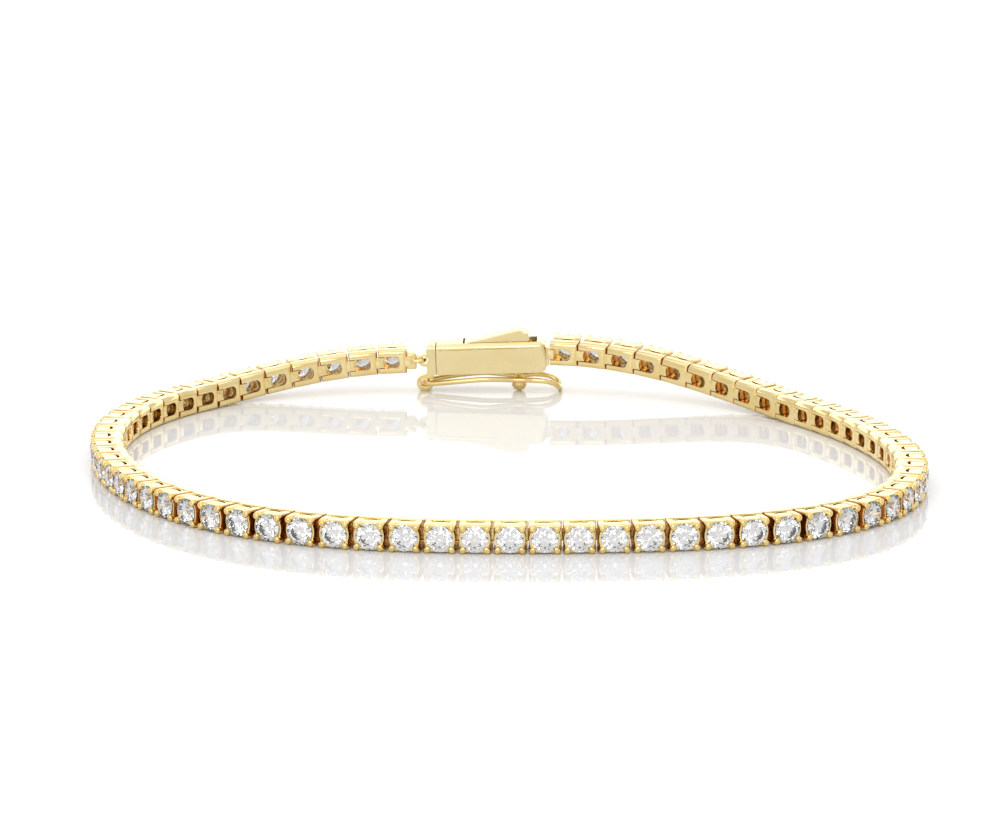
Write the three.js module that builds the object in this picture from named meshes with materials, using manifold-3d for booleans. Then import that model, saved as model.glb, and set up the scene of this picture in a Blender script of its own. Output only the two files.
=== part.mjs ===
// A tennis bracelet lying on its side, closed: seventy hinged links with one round
// brilliant each, a box clasp with its sprung tongue, and a figure-eight safety latch.
// Millimetres. +Z is up, the floor is z = 0, +Y is the clasp's side (the back).
//
// A link has its own frame: x along the chain, y outwards from the wrist, z across the
// chain, with the origin on the hinge line midway between its two hinges.

import * as THREE from 'three';
import { mergeVertices } from 'three/addons/utils/BufferGeometryUtils.js';
import Module from 'manifold-3d';

const wasm = await Module();
wasm.setup();

// Chain
const LINKS = 70;
const PITCH = 2.38;
const RAIL_DEPTH = 0.78;          // base rails, wrist face to their outer face
const RAIL_MARGIN = 0.02;         // rail past a prong's foot, each side
const PLATE_LENGTH = 0.62;        // cross plate that carries the hinge tongue
const HINGE_PLAY = 0.08;          // tongue to rail, each side
const HINGE_END = 0.17;           // metal past a hinge pin, along the chain
const SEAM = 0.16;                // rail's end to the next link's plate
const PIN_RADIUS = 0.17;
const PIN_SIDES = 3;              // a hinge pin shows only in the play beside its tongue
const LOOSE_PIN_RADIUS = 0.15;
const LOOSE_PIN_PLAY = 0.05;      // pin to hole, where two solids meet

// Setting and stone
const STONE_DIAMETER = 2.0;
const STONE_SHIFT = -0.14;        // stone from the middle of its two hinges
const TABLE_SHARE = 0.58;         // table across over stone across
const CROWN_HEIGHT = 0.3;
const PAVILION_DEPTH = 0.86;
const GIRDLE_RISE = 1.46;         // girdle over the base rails
const PRONG_LENGTH = 0.62;        // a prong's side along the chain
const PRONG_WIDTH = 0.44;         // and across it
const PRONG_GRIP = 0.04;          // stone's corner inside the prong
const PRONG_OVER = 0.26;          // prong's top over the girdle

// Clasp box, in the clasp's frame: x along the clasp, y outwards, z up. Places along it
// are measured from the box face, where the hollow box meets its solid end plate.
const CLASP_CENTRE = -1.5;        // its middle, left of the loop's middle
const BOX_LENGTH = 8.9;
const BOX_DEPTH = 3.0;            // wrist face to outer face
const BOX_HEIGHT = 2.5;
const BOX_WALL = 0.3;
const BOX_CORNER = 0.45;
const BOX_STANDOFF = 0.06;        // box past the chain's wrist face
const BOX_LIFT = 1.6;             // underside over the floor, at the box's middle
const CLASP_TILT = 1.7;           // degrees, right end up
const END_PLATE = 0.75;           // full-depth plate that closes the left end
const EYE_RADIUS = 0.33;
const EYE_WALL = 0.2;             // metal round the eye, in the lug past the plate
const EYE_LUG = 1.0;              // lug's thickness
const RIGHT_REACH = 0.5;          // box mouth to the right chain's first pin
const LEFT_REACH = 2.1;           // box face to the left chain's last hinge
const RIGHT_RISE = 0.28;          // first right pin over the box's middle
const LEFT_RISE = -0.05;
const SLOT_BRIDGE = 0.7;          // upper wall left between the thumb slot and the mouth
const SLOT_START = 2.2;
const SLOT_END = BOX_LENGTH - SLOT_BRIDGE;
const SLOT_WIDTH = 2.2;

// Tongue and thumb lever
const LEAF = 0.3;
const TONGUE_PLAY = 0.15;
const FOLD_AT = 1.0;              // folded end of the spring leaf
const FOLD_PLAY = 0.1;            // upper leaf to lower leaf at the fold
const TONGUE_BLOCK = 0.7;         // block in the mouth, along the clasp
const MOUTH_REACH = 0.22;         // block past the mouth
const LUG_ROOT = 0.38;            // lug from its pin back into the block
const LEVER_PLAY = 0.12;
const LEVER_RISE = 0.95;          // apex over the upper wall
const LEVER_FALL = 0.85;          // apex to the lever's far end, along the clasp
const SLOT_PLAY = 0.6;            // slot past the lever's far end
const LEVER_END = SLOT_END - SLOT_PLAY;
const LEVER_APEX = LEVER_END - LEVER_FALL;
const LEVER_LIP = 0.15;           // far end over the upper wall
const LEAF_MARGIN = 0.1;          // upper leaf past the lever's far end
const LEAF_END = LEVER_END + LEAF_MARGIN;

// Safety latch and what it works on
const WIRE_RADIUS = 0.21;
const WIRE_SIDES = 6;
const LATCH_WIDTH = 2.7;          // across the loop, wire centres
const HOOK_WALL = 0.38;
const HOOK_PLAY = 0.1;
const HOOK_WIDTH = 1.1;
const HOOK_AT = -0.95;            // pivot
const HOOK_SWEEP = 285;           // degrees of curl round the pivot
const STUD_AT = 6.65;             // catch stud
const BALL_RADIUS = 0.62;
const NECK_RADIUS = 0.32;
const BALL_PLAY = 0.09;
const LATCH_TIP = 10.05;          // far end of the loop's centre line
const LATCH_ARCH = 1.15;          // wire's height over the floor along the clasp

// End loop that joins the left chain to the box
const LOOP_WIRE = 0.17;
const LOOP_PLAY = 0.1;
const LOOP_OFFSET = 0.35;         // outwards from the hinge line

// How the chain lies
const RIGHT_RAMP = 10;            // links over which the chain comes down to the floor
const LEFT_RAMP = 8;
const RIGHT_ROLL = 10;            // degrees, next to the clasp
const LEFT_ROLL = 5;

// Chosen points of the chain's route, seen from above, clockwise from the back.
// They set its shape only: the loop is sized to the links and the clasp.
const ROUTE = [
  [0.0, 25.6], [7.7, 25.0], [15.0, 21.9], [20.7, 16.6], [24.9, 10.1], [27.8, 3.2], [29.3, -4.1],
  [28.7, -12.0], [25.4, -18.9], [19.2, -23.2], [12.2, -25.0], [5.8, -25.5], [0.0, -25.6],
  [-5.8, -25.3], [-11.6, -24.1], [-17.2, -21.4], [-22.0, -16.8], [-25.5, -10.9], [-27.8, -3.9],
  [-28.7, 3.7], [-27.4, 11.7], [-23.2, 19.2], [-16.4, 24.1], [-8.0, 25.6],
];

// Colours and finish
const GOLD = { color: 0xe9c878, roughness: 0.2, metalness: 1 };
const LATCH_GOLD = { color: 0xe6c06a, roughness: 0.22, metalness: 1 };

// Worked out from the sizes above
const DEG = Math.PI / 180;
const WRIST = -RAIL_DEPTH / 2;
const RAIL_TOP = RAIL_DEPTH / 2;
const GIRDLE = RAIL_TOP + GIRDLE_RISE;
const STONE_RADIUS = STONE_DIAMETER / 2;
const PRONG_CORNER = (STONE_RADIUS - PRONG_GRIP) * Math.SQRT1_2
  + PRONG_LENGTH * PRONG_WIDTH / (PRONG_LENGTH + PRONG_WIDTH);
const BASE_HALF = Math.max(PRONG_CORNER, STONE_RADIUS) + RAIL_MARGIN;
const RAIL_INNER = PRONG_CORNER - PRONG_WIDTH - RAIL_MARGIN;
const TONGUE_HALF = RAIL_INNER - HINGE_PLAY;
const REST_HEIGHT = BASE_HALF;
const CLASP_SPAN = LEFT_REACH + BOX_LENGTH + RIGHT_REACH;
const BOX_Y = WRIST - BOX_STANDOFF + BOX_DEPTH / 2;
const BALL_HOLD = BALL_RADIUS + WIRE_RADIUS + BALL_PLAY;

// Solids

function solidOf(geometry) {
  const bare = geometry.index ? geometry.toNonIndexed() : geometry.clone();
  bare.deleteAttribute('normal');
  bare.deleteAttribute('uv');
  const merged = mergeVertices(bare, 1e-5);
  const corners = [];
  for (let i = 0; i < merged.index.count; i += 3) {
    const [a, b, c] = [0, 1, 2].map((k) => merged.index.getX(i + k));
    if (a !== b && b !== c && c !== a) corners.push(a, b, c);
  }
  return new wasm.Manifold(new wasm.Mesh({
    numProp: 3,
    vertProperties: new Float32Array(merged.attributes.position.array),
    triVerts: new Uint32Array(corners),
  }));
}

function geometryOf(solid) {
  const mesh = solid.getMesh();
  const geometry = new THREE.BufferGeometry();
  geometry.setAttribute('position', new THREE.BufferAttribute(new Float32Array(mesh.vertProperties), 3));
  geometry.setIndex(new THREE.BufferAttribute(new Uint32Array(mesh.triVerts), 1));
  return geometry;
}

const join = (solids) => solids.reduce((whole, next) => whole.add(next));
const moved = (solid, matrix) => solid.transform(Array.from(matrix.elements));

// A box from its lowest and highest corners
function block(low, high) {
  const geometry = new THREE.BoxGeometry(high[0] - low[0], high[1] - low[1], high[2] - low[2]);
  geometry.translate((low[0] + high[0]) / 2, (low[1] + high[1]) / 2, (low[2] + high[2]) / 2);
  return solidOf(geometry);
}

// A round bar between two points on a line along x, y or z
function bar(axis, radius, low, high, place, sides) {
  const geometry = new THREE.CylinderGeometry(radius, radius, high - low, sides);
  geometry.translate(0, (low + high) / 2, 0);
  if (axis === 'x') geometry.rotateZ(-Math.PI / 2);
  if (axis === 'z') geometry.rotateX(Math.PI / 2);
  geometry.translate(...place);
  return solidOf(geometry);
}

// An outline in the x-y plane, extruded from z = low to z = high
function slab(outline, low, high) {
  const shape = new THREE.Shape(outline.map(([x, y]) => new THREE.Vector2(x, y)));
  const geometry = new THREE.ExtrudeGeometry(shape, { depth: high - low, bevelEnabled: false });
  geometry.translate(0, 0, low);
  return geometry;
}

// A wire along a closed curve: a torus whose sections are moved on to the curve
function closedWire(curve, radius, sides, steps) {
  const geometry = new THREE.TorusGeometry(1, 0.5, sides, steps);
  const position = geometry.attributes.position;
  const up = new THREE.Vector3(0, 0, 1);
  for (let j = 0; j <= sides; j += 1) {
    const angle = 2 * Math.PI * j / sides;
    for (let i = 0; i <= steps; i += 1) {
      const along = (i % steps) / steps;
      const centre = curve.getPointAt(along);
      const tangent = curve.getTangentAt(along);
      const side = new THREE.Vector3().crossVectors(up, tangent).normalize();
      const over = new THREE.Vector3().crossVectors(tangent, side);
      centre.addScaledVector(side, -radius * Math.cos(angle));
      centre.addScaledVector(over, radius * Math.sin(angle));
      position.setXYZ(j * (steps + 1) + i, centre.x, centre.y, centre.z);
    }
  }
  return solidOf(geometry);
}

// The chain's route

// A closed cubic B-spline guided by the chosen points
function routeAt(u) {
  const count = ROUTE.length;
  const first = Math.floor(u);
  const t = u - first;
  const weights = [
    (1 - t) ** 3 / 6,
    (3 * t ** 3 - 6 * t ** 2 + 4) / 6,
    (-3 * t ** 3 + 3 * t ** 2 + 3 * t + 1) / 6,
    t ** 3 / 6,
  ];
  const point = new THREE.Vector2();
  weights.forEach((weight, k) => {
    const [x, y] = ROUTE[(((first + k - 1) % count) + count) % count];
    point.x += weight * x;
    point.y += weight * y;
  });
  return point;
}

// Steps along the route by chords of one pitch; gives every hinge, seen from above
function walk(scale, start) {
  const hinges = [routeAt(start).multiplyScalar(scale)];
  let u = start;
  for (let i = 0; i < LINKS; i += 1) {
    const from = hinges[i];
    let low = u;
    let high = u + 1.5;
    for (let k = 0; k < 40; k += 1) {
      const middle = (low + high) / 2;
      if (routeAt(middle).multiplyScalar(scale).distanceTo(from) < PITCH) low = middle;
      else high = middle;
    }
    u = (low + high) / 2;
    hinges.push(routeAt(u).multiplyScalar(scale));
  }
  return { hinges, end: u };
}

// The route's size and start at which the clasp's chord closes the loop at the back
function closeLoop() {
  const gap = CLASP_SPAN * Math.cos(CLASP_TILT * DEG);
  const spacing = ROUTE[1][0] - ROUTE[0][0];
  let scale = 1;
  let start = 0.5;
  for (let round = 0; round < 8; round += 1) {
    let low = 0.5;
    let high = 2;
    for (let k = 0; k < 36; k += 1) {
      scale = (low + high) / 2;
      const { hinges, end } = walk(scale, start);
      const apart = hinges[LINKS].distanceTo(hinges[0]);
      if (end - start > ROUTE.length || apart < gap) low = scale;
      else high = scale;
    }
    const { hinges } = walk(scale, start);
    start += (CLASP_CENTRE - (hinges[0].x + hinges[LINKS].x) / 2) / (spacing * scale);
  }
  return walk(scale, start).hinges;
}

// A link, fused with its stone

// Base rails, cross plate and hinge tongue, seen square to the wrist face (x, z)
function baseOutline() {
  const tongueEnd = PITCH / 2 + HINGE_END;
  const plateEnd = PITCH / 2 - HINGE_END - SEAM;
  const plateStart = plateEnd - PLATE_LENGTH;
  return [
    [-tongueEnd, -BASE_HALF], [plateEnd, -BASE_HALF], [plateEnd, -TONGUE_HALF],
    [tongueEnd, -TONGUE_HALF], [tongueEnd, TONGUE_HALF], [plateEnd, TONGUE_HALF],
    [plateEnd, BASE_HALF], [-tongueEnd, BASE_HALF], [-tongueEnd, RAIL_INNER],
    [plateStart, RAIL_INNER], [plateStart, -RAIL_INNER], [-tongueEnd, -RAIL_INNER],
  ];
}

function base() {
  const plate = slab(baseOutline().map(([x, z]) => [x, -z]), WRIST, RAIL_TOP);
  plate.rotateX(-Math.PI / 2);
  return solidOf(plate);
}

// A round brilliant's main faces: table, eight crown facets and eight pavilion facets
function stone() {
  const profile = [
    [0, GIRDLE - PAVILION_DEPTH], [STONE_RADIUS, GIRDLE],
    [STONE_RADIUS * TABLE_SHARE, GIRDLE + CROWN_HEIGHT], [0, GIRDLE + CROWN_HEIGHT],
  ];
  const gem = new THREE.LatheGeometry(profile.map(([r, y]) => new THREE.Vector2(r, y)), 8);
  gem.rotateY(Math.PI / 4);
  gem.translate(STONE_SHIFT, 0, 0);
  return solidOf(gem);
}

// Four three-sided prongs from the base rails to over the girdle. Each has its slanting
// face towards the stone, whose corner it holds.
function prongs() {
  return [[-1, -1], [1, -1], [1, 1], [-1, 1]].map(([sideX, sideZ]) => {
    const outline = [
      [sideX * PRONG_CORNER, sideZ * PRONG_CORNER],
      [sideX * (PRONG_CORNER - PRONG_LENGTH), sideZ * PRONG_CORNER],
      [sideX * PRONG_CORNER, sideZ * (PRONG_CORNER - PRONG_WIDTH)],
    ];
    const prong = slab(outline.map(([x, z]) => [x, -z]), 0, GIRDLE + PRONG_OVER);
    prong.rotateX(-Math.PI / 2);
    prong.translate(STONE_SHIFT, 0, 0);
    return solidOf(prong);
  });
}

// Pins lie across the chain at a hinge, from inside one fork rail to inside the other
const PIN_REACH = (BASE_HALF + RAIL_INNER) / 2;
const fusedPin = () => bar('z', PIN_RADIUS, -PIN_REACH, PIN_REACH, [-PITCH / 2, 0, 0], PIN_SIDES);
const loosePin = () => bar('z', LOOSE_PIN_RADIUS, -PIN_REACH, PIN_REACH, [-PITCH / 2, 0, 0], 8);
const hingeHole = (x) => bar('z', LOOSE_PIN_RADIUS + LOOSE_PIN_PLAY, -BASE_HALF, BASE_HALF, [x, 0, 0], 8);

const SETTING = join([base(), stone(), ...prongs()]).asOriginal().simplify(0.001);

// The clasp's frame: where it is held over the floor and along the back

const hingesFromAbove = closeLoop();

function claspMatrix() {
  const right = hingesFromAbove[0];
  const left = hingesFromAbove[LINKS];
  const turn = Math.atan2(right.y - left.y, right.x - left.x);
  const matrix = new THREE.Matrix4().makeRotationZ(turn);
  matrix.multiply(new THREE.Matrix4().makeRotationY(-CLASP_TILT * DEG));
  const middle = new THREE.Vector3((left.x + right.x) / 2, (left.y + right.y) / 2, 0);
  matrix.setPosition(middle.x, middle.y, BOX_LIFT + BOX_HEIGHT / 2);
  return matrix;
}

const CLASP = claspMatrix();

// A clasp position from its distance to the box face, as x in the clasp's frame
const fromFace = (distance) => distance + LEFT_REACH - CLASP_SPAN / 2;

// The z in the clasp's frame at which a point along it is at a height over the floor
const overFloor = (x, height) => (height - CLASP.elements[14] - x * Math.sin(CLASP_TILT * DEG))
  / Math.cos(CLASP_TILT * DEG);

// The chain's hinges in space, and the frames of its links

function hingePoints() {
  const ends = [
    new THREE.Vector3(CLASP_SPAN / 2, 0, RIGHT_RISE).applyMatrix4(CLASP),
    new THREE.Vector3(-CLASP_SPAN / 2, 0, LEFT_RISE).applyMatrix4(CLASP),
  ];
  const ease = (steps, ramp) => (steps >= ramp ? 0 : (1 + Math.cos(Math.PI * steps / ramp)) / 2);
  return hingesFromAbove.map((hinge, i) => {
    const right = ease(i, RIGHT_RAMP);
    const left = ease(LINKS - i, LEFT_RAMP);
    const lift = right * (ends[0].z - REST_HEIGHT) + left * (ends[1].z - REST_HEIGHT);
    return {
      point: new THREE.Vector3(hinge.x, hinge.y, REST_HEIGHT + lift),
      roll: DEG * (right * RIGHT_ROLL + left * LEFT_ROLL),
    };
  });
}

function linkMatrix(from, to) {
  const along = new THREE.Vector3().subVectors(to.point, from.point).normalize();
  const out = new THREE.Vector3(0, 0, 1).cross(along).normalize();
  const up = new THREE.Vector3().crossVectors(along, out);
  const matrix = new THREE.Matrix4().makeBasis(along, out, up);
  matrix.multiply(new THREE.Matrix4().makeRotationX((from.roll + to.roll) / 2));
  return matrix.setPosition(new THREE.Vector3().addVectors(from.point, to.point).divideScalar(2));
}

const HINGES = hingePoints();
const matrices = HINGES.slice(1).map((hinge, i) => linkMatrix(HINGES[i], hinge));

// Links first to last as one fused run. Its own pins join its links; the pin at its first
// fork runs loose in another solid's tongue, and so may its last tongue on another's pin.
function chainRun(first, last, looseEnd) {
  const links = [];
  for (let i = first; i <= last; i += 1) {
    let link = SETTING.add(i === first ? loosePin() : fusedPin());
    if (i === last && looseEnd) link = link.subtract(hingeHole(PITCH / 2));
    links.push(moved(link, matrices[i]));
  }
  return join(links);
}

const MIDDLE_LINK = Math.floor(LINKS / 2);

// The clasp

const BOX_FRONT = BOX_Y - BOX_DEPTH / 2;
const BOX_BACK = BOX_Y + BOX_DEPTH / 2;
const BOX_TOP = BOX_HEIGHT / 2;
const INSIDE_DEPTH = BOX_DEPTH / 2 - BOX_WALL;
const INSIDE_TOP = BOX_TOP - BOX_WALL;
const EYE_AT = fromFace(-END_PLATE - EYE_RADIUS / 2);
const ROUND_SIDES = 12;

// A profile in the clasp's x-z plane, extruded along y
function claspSlab(profile, front, back) {
  const geometry = slab(profile.map(([x, z]) => [x, -z]), front, back);
  geometry.rotateX(-Math.PI / 2);
  return solidOf(geometry);
}

function turned(radius, from, to, steps, [x, z]) {
  return Array.from({ length: steps + 1 }, (_, i) => {
    const angle = DEG * (from + (to - from) * i / steps);
    return [x + radius * Math.cos(angle), z + radius * Math.sin(angle)];
  });
}

// A flat wire loop from the last link's tongue through the eye by the box's end plate
function endLoop() {
  const start = -CLASP_SPAN / 2 + HINGE_END - LOOP_WIRE;
  const middle = (start + EYE_AT) / 2;
  const wide = EYE_LUG / 2 + LOOP_PLAY + LOOP_WIRE;
  const outline = [
    [start, 0], [start + LOOP_WIRE, wide * 0.8], [middle, wide], [EYE_AT - LOOP_WIRE, wide * 0.85],
    [EYE_AT, 0], [EYE_AT - LOOP_WIRE, -wide * 0.85], [middle, -wide], [start + LOOP_WIRE, -wide * 0.8],
  ];
  const points = outline.map(([x, y]) => new THREE.Vector3(x, y + LOOP_OFFSET, LEFT_RISE));
  return closedWire(new THREE.CatmullRomCurve3(points, true), LOOP_WIRE, 6, 20);
}

// The latch's pivot, by which the curled hook just stands on the floor
const PIVOT_X = fromFace(HOOK_AT);
const HOOK_INNER = WIRE_RADIUS + HOOK_PLAY;
const PIVOT_Z = overFloor(PIVOT_X, HOOK_INNER + HOOK_WALL);
const STUD_X = fromFace(STUD_AT);

// A curl open towards the box, with a stem up into the end plate
function hook() {
  const outer = HOOK_INNER + HOOK_WALL;
  const centre = [PIVOT_X, PIVOT_Z];
  const curl = [
    ...turned(outer, 90, 90 + HOOK_SWEEP, ROUND_SIDES, centre),
    ...turned(HOOK_INNER, 90 + HOOK_SWEEP, 90, ROUND_SIDES, centre),
  ];
  const stem = [
    [PIVOT_X - outer / 2, PIVOT_Z + HOOK_INNER], [fromFace(-END_PLATE / 3), PIVOT_Z + HOOK_INNER],
    [fromFace(-END_PLATE / 3), -BOX_TOP + HOOK_WALL], [fromFace(-END_PLATE), -BOX_TOP + HOOK_WALL],
  ];
  const front = BOX_Y - HOOK_WIDTH / 2;
  const back = BOX_Y + HOOK_WIDTH / 2;
  return join([claspSlab(curl, front, back), claspSlab(stem, front, back)]);
}

// A ball on a neck under the box, standing on the floor
function catchStud() {
  const ballZ = overFloor(STUD_X, BALL_RADIUS);
  const ball = new THREE.SphereGeometry(BALL_RADIUS, ROUND_SIDES, ROUND_SIDES / 2);
  ball.rotateX(Math.PI / 2);
  ball.translate(STUD_X, BOX_Y, ballZ);
  const neck = bar('z', NECK_RADIUS, ballZ, -BOX_TOP + BOX_WALL / 2, [STUD_X, BOX_Y, 0], ROUND_SIDES / 2);
  return join([solidOf(ball), neck]);
}

function claspBox() {
  const left = fromFace(-END_PLATE);
  const right = fromFace(BOX_LENGTH);
  const arc = BOX_CORNER;
  const shell = claspSlab([
    [left, -BOX_TOP], ...turned(arc, -90, 0, 3, [right - arc, -BOX_TOP + arc]),
    ...turned(arc, 0, 90, 3, [right - arc, BOX_TOP - arc]), [left, BOX_TOP],
  ], BOX_FRONT, BOX_BACK);
  const inside = block(
    [fromFace(BOX_WALL), BOX_Y - INSIDE_DEPTH, -INSIDE_TOP],
    [right + BOX_WALL, BOX_Y + INSIDE_DEPTH, INSIDE_TOP],
  );
  const slot = block(
    [fromFace(SLOT_START), BOX_Y - SLOT_WIDTH / 2, 0],
    [fromFace(SLOT_END), BOX_Y + SLOT_WIDTH / 2, BOX_TOP + BOX_WALL],
  );
  const lug = block(
    [EYE_AT - EYE_RADIUS - EYE_WALL, LOOP_OFFSET - EYE_LUG / 2, LEFT_RISE - EYE_RADIUS - EYE_WALL],
    [left + END_PLATE / 2, LOOP_OFFSET + EYE_LUG / 2, LEFT_RISE + EYE_RADIUS + EYE_WALL],
  );
  const eye = bar('y', EYE_RADIUS, BOX_FRONT - 1, BOX_BACK + 1, [EYE_AT, 0, LEFT_RISE], ROUND_SIDES);
  return join([shell.subtract(inside).subtract(slot), lug, hook(), catchStud()]).subtract(eye);
}

// The tongue's lower leaf, its block in the mouth and the lug on the first link's pin
const LEAF_LOW = -INSIDE_TOP + TONGUE_PLAY;
const LEAF_HIGH = INSIDE_TOP - TONGUE_PLAY;
const LEAF_FRONT = BOX_Y - INSIDE_DEPTH + TONGUE_PLAY;
const LEAF_BACK = BOX_Y + INSIDE_DEPTH - TONGUE_PLAY;

function tongue() {
  const blockEnd = fromFace(BOX_LENGTH + MOUTH_REACH);
  const blockStart = blockEnd - TONGUE_BLOCK;
  const fold = fromFace(FOLD_AT);
  const leaf = claspSlab([
    [fold, LEAF_LOW], [blockEnd, LEAF_LOW], [blockEnd, LEAF_HIGH], [blockStart, LEAF_HIGH],
    [blockStart, LEAF_LOW + LEAF], [fold, LEAF_LOW + LEAF],
  ], LEAF_FRONT, LEAF_BACK);
  const pin = -PITCH / 2;
  const lug = block([pin - LUG_ROOT, WRIST, -TONGUE_HALF], [pin + HINGE_END, RAIL_TOP, TONGUE_HALF]);
  return moved(leaf, CLASP).add(moved(lug.subtract(hingeHole(pin)), matrices[0]));
}

// The upper leaf and the thumb lever on it, which turn at the fold
const FOLD_X = fromFace(FOLD_AT) + LEAF / 2;
const FOLD_Z = LEAF_LOW + LEAF + FOLD_PLAY + LEAF / 2;

function thumbLever() {
  const leafEnd = fromFace(LEAF_END);
  const slope = (LEAF_HIGH - LEAF / 2 - FOLD_Z) / (leafEnd - FOLD_X);
  const middle = (x) => FOLD_Z + slope * (x - FOLD_X);
  const leaf = claspSlab([
    ...turned(LEAF / 2, 90, 270, 4, [FOLD_X, FOLD_Z]),
    [leafEnd, LEAF_HIGH - LEAF], [leafEnd, LEAF_HIGH],
  ], LEAF_FRONT, LEAF_BACK);
  const start = fromFace(SLOT_START) + LEVER_PLAY;
  const foot = start + LEVER_RISE;
  const end = fromFace(LEVER_END);
  const lever = claspSlab([
    [start, BOX_TOP], [foot, middle(foot)], [end, middle(end)],
    [end, BOX_TOP + LEVER_LIP], [fromFace(LEVER_APEX), BOX_TOP + LEVER_RISE],
  ], BOX_Y - SLOT_WIDTH / 2 + LEVER_PLAY, BOX_Y + SLOT_WIDTH / 2 - LEVER_PLAY);
  return join([leaf, lever]);
}

// Half of the loop's centre line, from the pivot to the far end. Columns: place from the
// box face, half width, height over the floor. The wire is narrowest beside the ball.
function latchHalf(tipHeight) {
  const hinge = HOOK_WIDTH / 2 + HOOK_PLAY + WIRE_RADIUS;
  const half = LATCH_WIDTH / 2;
  const pivotHeight = HOOK_INNER + HOOK_WALL;
  const reach = LATCH_TIP - STUD_AT;
  return [
    [HOOK_AT, hinge * 0.3, pivotHeight],
    [HOOK_AT, hinge * 0.8, pivotHeight],
    [HOOK_AT + WIRE_RADIUS * 2, hinge, pivotHeight],
    [STUD_AT * 0.3, half, (pivotHeight + 2 * LATCH_ARCH) / 3],
    [STUD_AT * 0.6, half, LATCH_ARCH],
    [STUD_AT, BALL_HOLD, LATCH_ARCH * 0.9],
    [STUD_AT + reach * 0.42, half * 0.94, LATCH_ARCH * 0.93],
    [STUD_AT + reach * 0.8, half * 0.86, LATCH_ARCH * 0.5],
    [LATCH_TIP - WIRE_RADIUS / 2, half * 0.45, tipHeight],
  ];
}

function latchWire(tipHeight) {
  const half = latchHalf(tipHeight);
  const rows = [...half, ...half.map(([at, wide, height]) => [at, -wide, height]).reverse()];
  const points = rows.map(([at, wide, height]) => {
    const x = fromFace(at);
    return new THREE.Vector3(x, BOX_Y + wide, overFloor(x, height));
  });
  const curve = new THREE.CatmullRomCurve3(points, true, 'centripetal');
  return moved(closedWire(curve, WIRE_RADIUS, WIRE_SIDES, 44), CLASP);
}

// The loop's far end is set down until its wire lies on the floor
function safetyLatch() {
  const first = latchWire(WIRE_RADIUS);
  return latchWire(WIRE_RADIUS - first.boundingBox().min[2]);
}

// The assembly

function material({ color, roughness, metalness }) {
  return new THREE.MeshStandardMaterial({ color, roughness, metalness });
}

function piece(name, solid, finish) {
  const mesh = new THREE.Mesh(geometryOf(solid), material(finish));
  mesh.name = name;
  return mesh;
}

const bracelet = new THREE.Group();
bracelet.add(piece('links_right', chainRun(0, MIDDLE_LINK - 1, true), GOLD));
const leftRun = chainRun(MIDDLE_LINK, LINKS - 1, false).add(moved(endLoop(), CLASP));
bracelet.add(piece('links_left', leftRun, GOLD));
bracelet.add(piece('clasp_box', moved(claspBox(), CLASP), GOLD));
bracelet.add(piece('clasp_tongue', tongue(), GOLD));
bracelet.add(piece('thumb_lever', moved(thumbLever(), CLASP), GOLD));
bracelet.add(piece('safety_latch', safetyLatch(), LATCH_GOLD));

// The origin is under the middle of the whole
const bounds = new THREE.Box3().setFromObject(bracelet);
bracelet.position.set(-(bounds.min.x + bounds.max.x) / 2, -(bounds.min.y + bounds.max.y) / 2, -bounds.min.z);

export default bracelet;
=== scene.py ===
import math

import bmesh
import bpy
import numpy as np
from mathutils import Matrix, Vector


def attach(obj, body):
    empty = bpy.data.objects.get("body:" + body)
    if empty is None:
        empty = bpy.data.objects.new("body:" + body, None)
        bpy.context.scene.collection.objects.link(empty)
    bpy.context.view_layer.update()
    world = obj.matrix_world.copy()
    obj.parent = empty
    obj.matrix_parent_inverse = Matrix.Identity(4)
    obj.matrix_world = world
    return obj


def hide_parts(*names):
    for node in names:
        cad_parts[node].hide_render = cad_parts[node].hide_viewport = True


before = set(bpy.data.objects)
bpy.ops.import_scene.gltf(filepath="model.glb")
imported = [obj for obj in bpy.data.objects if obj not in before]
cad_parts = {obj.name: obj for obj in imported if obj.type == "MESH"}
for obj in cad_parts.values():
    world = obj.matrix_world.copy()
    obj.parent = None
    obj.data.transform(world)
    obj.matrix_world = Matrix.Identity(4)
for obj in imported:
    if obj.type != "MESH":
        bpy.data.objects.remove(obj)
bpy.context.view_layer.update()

# A tennis bracelet lying on its side. Lengths are in millimetres until a mesh is made,
# and the chain's and the clasp's sizes and algorithm are those of the solids' source.
# A link's frame: x along the chain, y outwards from the wrist, z across the chain.

MM = 0.001
DEG = math.pi / 180

# The solids' origin from the route's
SHIFT = Vector((-0.32884, -0.14402, 0.004672))

# Chain
LINKS = 70
PITCH = 2.38
RAIL_DEPTH = 0.78
WINDOW_START = -0.88
WINDOW_END = 0.33
WINDOW_SAG = 0.13
WINDOW_CORNER = 0.4
HINGE_PLAY = 0.035
HINGE_END = 0.17
SEAM = 0.08
TONGUE_ROOT = 0.2
RAIL_ROUNDING = 0.38
PIN_RADIUS = 0.15
BASE_HALF = 1.02
RAIL_INNER = 0.476
WRIST = -RAIL_DEPTH / 2
RAIL_TOP = RAIL_DEPTH / 2
REST_HEIGHT = BASE_HALF

# Setting and stone
STONE_RADIUS = 0.96
STONE_SHIFT = -0.14
TABLE_SHARE = 0.58
CROWN_HEIGHT = 0.3
PAVILION_DEPTH = 0.86
GIRDLE = RAIL_TOP + 1.46
GIRDLE_BAND = 0.03
PRONG_TOP = GIRDLE + 0.26
CUP_LOW = 0.36
CUP_TOP = 1.78
CUP_HOLE = 0.6
ARC_SLOT_REACH = 0.56
ARC_SLOT_HALF = 0.13
ARC_SLOT_HEIGHT = 0.68
ARC_SLOT_BOW = 0.16
ARC_SLOT_INNER = 0.74
ARC_SLOT_OUTER = 2.0

# The body on the chain's end
END_BLOCK_HALF = 0.66
END_BLOCK_ROOT = 0.3
END_BLOCK_REACH = 0.52
END_BLOCK_TOP = 0.95

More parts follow.
